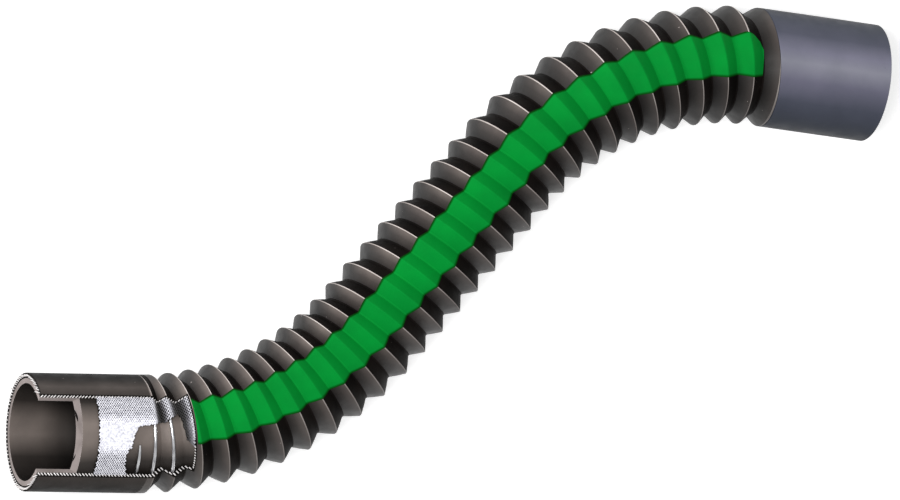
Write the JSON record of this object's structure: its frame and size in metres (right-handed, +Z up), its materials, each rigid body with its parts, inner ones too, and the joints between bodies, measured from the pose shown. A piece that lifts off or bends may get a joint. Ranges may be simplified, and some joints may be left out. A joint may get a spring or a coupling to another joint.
{
  "type": "radiator coolant hose",
  "caption": "Flexible corrugated radiator hose in an S bend, with plain cuffs, a plain stripe and one end cut away to show rubber tube, steel wire, woven ply and cover.",
  "frame": {"origin": "under the middle of the bounding box, on the floor that the hose lies on", "axes": "+Z up, +X from the cut-away inlet cuff towards the plain outlet cuff, along the inlet cuff's axis; the bends lie in the XY plane"},
  "size_m": [0.4002, 0.2264, 0.0534],
  "materials": {
    "tube_rubber": "smooth satin rubber",
    "spring_wire": "bright drawn steel wire",
    "woven_ply": "white cross-laid textile yarn",
    "cover_rubber": "satin black rubber",
    "stripe_green": "matt green stripe",
    "cuff_rubber": "smooth blue-grey rubber"
  },
  "bodies": {
    "root": {"inner_tube": "tube_rubber", "wire_helix": "spring_wire", "fabric_ply": "woven_ply", "outer_cover": "cover_rubber", "green_stripe": "stripe_green", "outlet_cuff": "cuff_rubber"}
  },
  "joints": []
}
